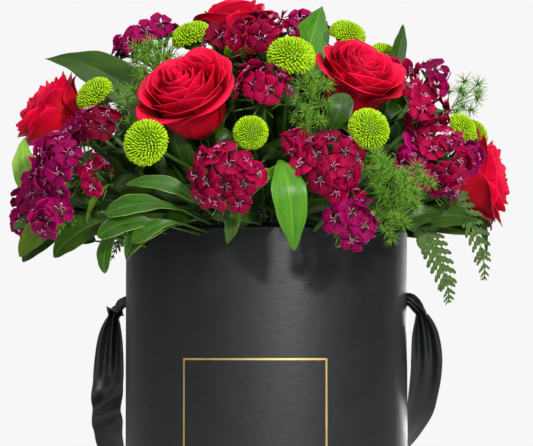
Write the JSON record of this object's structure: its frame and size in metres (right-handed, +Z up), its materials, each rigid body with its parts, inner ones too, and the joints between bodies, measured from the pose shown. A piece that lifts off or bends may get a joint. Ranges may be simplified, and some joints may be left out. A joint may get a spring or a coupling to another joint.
{
  "type": "flower box",
  "caption": "Round black paper-covered box with a long ribbon handle, holding foam in a film cup and a domed arrangement of red, magenta and green flowers with foliage.",
  "frame": {"origin": "centre of the foot, on the surface the box stands on", "axes": "+Z up, -Y out of the front with the foil frame, +X towards the right-hand ribbon hole"},
  "size_m": [0.3831, 0.3951, 0.4354],
  "materials": {
    "board": "matte",
    "black_paper": "satin",
    "lining_paper": "matte",
    "gold_foil": "satin",
    "satin_ribbon": "satin",
    "film": "gloss",
    "dry_foam": "matte",
    "soaked_foam": "matte",
    "rose_bloom": "satin",
    "button_flower": "matte",
    "sweet_william": "satin",
    "leaf": "satin",
    "fern": "matte"
  },
  "bodies": {
    "box": {"box_wall": "board", "wall_cover": "black_paper", "wall_lining": "lining_paper", "base_board": "board", "base_paper": "black_paper", "foil_frame": "gold_foil"},
    "arrangement": {"asparagus_sprig_1": "fern", "asparagus_sprig_2": "fern", "asparagus_sprig_3": "fern", "asparagus_sprig_4": "fern", "asparagus_sprig_5": "fern", "button_chrysanthemum_01": "button_flower", "button_chrysanthemum_02": "button_flower", "button_chrysanthemum_03": "button_flower", "button_chrysanthemum_04": "button_flower", "button_chrysanthemum_05": "button_flower", "button_chrysanthemum_06": "button_flower", "button_chrysanthemum_07": "button_flower", "button_chrysanthemum_08": "button_flower", "button_chrysanthemum_09": "button_flower", "button_chrysanthemum_10": "button_flower", "button_chrysanthemum_11": "button_flower", "button_chrysanthemum_12": "button_flower", "fern_back": "fern", "fern_front_right": "fern", "fern_right": "fern", "film_liner": "film", "foam_lower": "dry_foam", "foam_upper": "soaked_foam", "leaf_back": "leaf", "leaf_front": "leaf", "leaf_front_left": "leaf", "leaf_left": "leaf", "leaf_low_left": "leaf", "leaf_right_top": "leaf", "leaf_top": "leaf", "leaf_top_left": "leaf", "rose_1": "rose_bloom", "rose_2": "rose_bloom", "rose_3": "rose_bloom", "rose_4": "rose_bloom", "rose_5": "rose_bloom", "rose_6": "rose_bloom", "rose_7": "rose_bloom", "sweet_william_01": "sweet_william", "sweet_william_02": "sweet_william", "sweet_william_03": "sweet_william", "sweet_william_04": "sweet_william", "sweet_william_05": "sweet_william", "sweet_william_06": "sweet_william", "sweet_william_07": "sweet_william", "sweet_william_08": "sweet_william", "sweet_william_09": "sweet_william", "sweet_william_10": "sweet_william", "sweet_william_11": "sweet_william", "sweet_william_12": "sweet_william", "sweet_william_13": "sweet_william", "sweet_william_14": "sweet_william", "sweet_william_15": "sweet_william"},
    "handle": {"ribbon_handle": "satin_ribbon"}
  },
  "joints": [
    {"name": "insert_lift", "type": "slide", "parent": "box", "child": "arrangement", "axis": [0, 0, 1], "range_m": [0, 0.26]},
    {"name": "handle_swing", "type": "hinge", "parent": "box", "child": "handle", "pos_m": [0, 0, 0.197], "axis": [1, 0, 0], "range_deg": [0, 50]}
  ]
}
